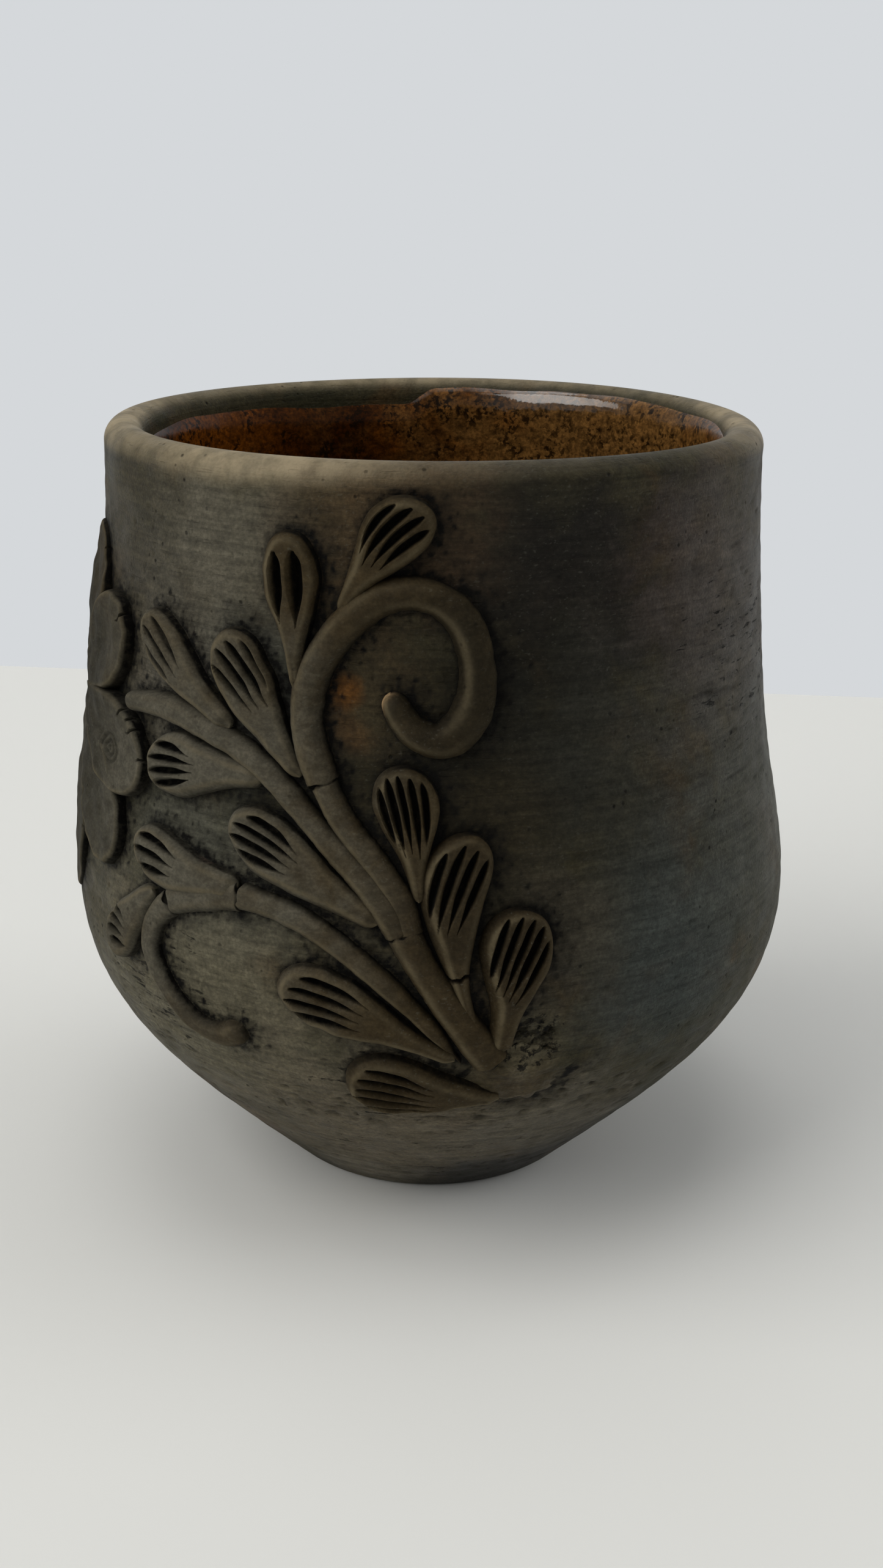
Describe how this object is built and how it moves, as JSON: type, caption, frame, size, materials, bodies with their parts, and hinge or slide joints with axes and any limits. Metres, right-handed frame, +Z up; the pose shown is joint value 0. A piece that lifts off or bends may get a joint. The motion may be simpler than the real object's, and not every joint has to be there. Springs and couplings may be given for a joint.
{
  "type": "drinking cup",
  "caption": "Handleless round-bellied clay drinking cup on a flat foot, glazed inside, with an applied vine of grooved leaves, scrolls and a raised flower on its outside.",
  "frame": {"origin": "centre of the foot's flat face, on the cup's axis", "axes": "+Z up along the cup's axis, -Y towards the vine"},
  "size_m": [0.0952, 0.0962, 0.0985],
  "materials": {
    "body_clay": "matte smoke-fired clay",
    "vine_clay": "burnished smoke-fired clay",
    "inner_glaze": "glossy mottled amber glaze"
  },
  "bodies": {
    "root": {"cup_body": "body_clay", "glaze_lining": "inner_glaze", "slip_pad": "body_clay", "trunk_stem": "vine_clay", "flower_stem": "vine_clay", "scroll_stalk": "vine_clay", "upper_scroll": "vine_clay", "lower_stem": "vine_clay", "lower_stem_end": "vine_clay", "lower_scroll": "vine_clay", "leaf_top_right": "vine_clay", "leaf_top_left": "vine_clay", "leaf_left_middle": "vine_clay", "leaf_left_upper": "vine_clay", "leaf_under_stem": "vine_clay", "leaf_centre_left": "vine_clay", "leaf_lower_left": "vine_clay", "leaf_far_left": "vine_clay", "leaf_right_first": "vine_clay", "leaf_right_second": "vine_clay", "leaf_right_third": "vine_clay", "leaf_low_first": "vine_clay", "leaf_low_second": "vine_clay", "petal_front": "vine_clay", "petal_front_upper": "vine_clay", "petal_front_lower": "vine_clay", "petal_top": "vine_clay", "petal_bottom": "vine_clay", "petal_back_upper": "vine_clay", "petal_back_lower": "vine_clay", "petal_back": "vine_clay"}
  },
  "joints": []
}
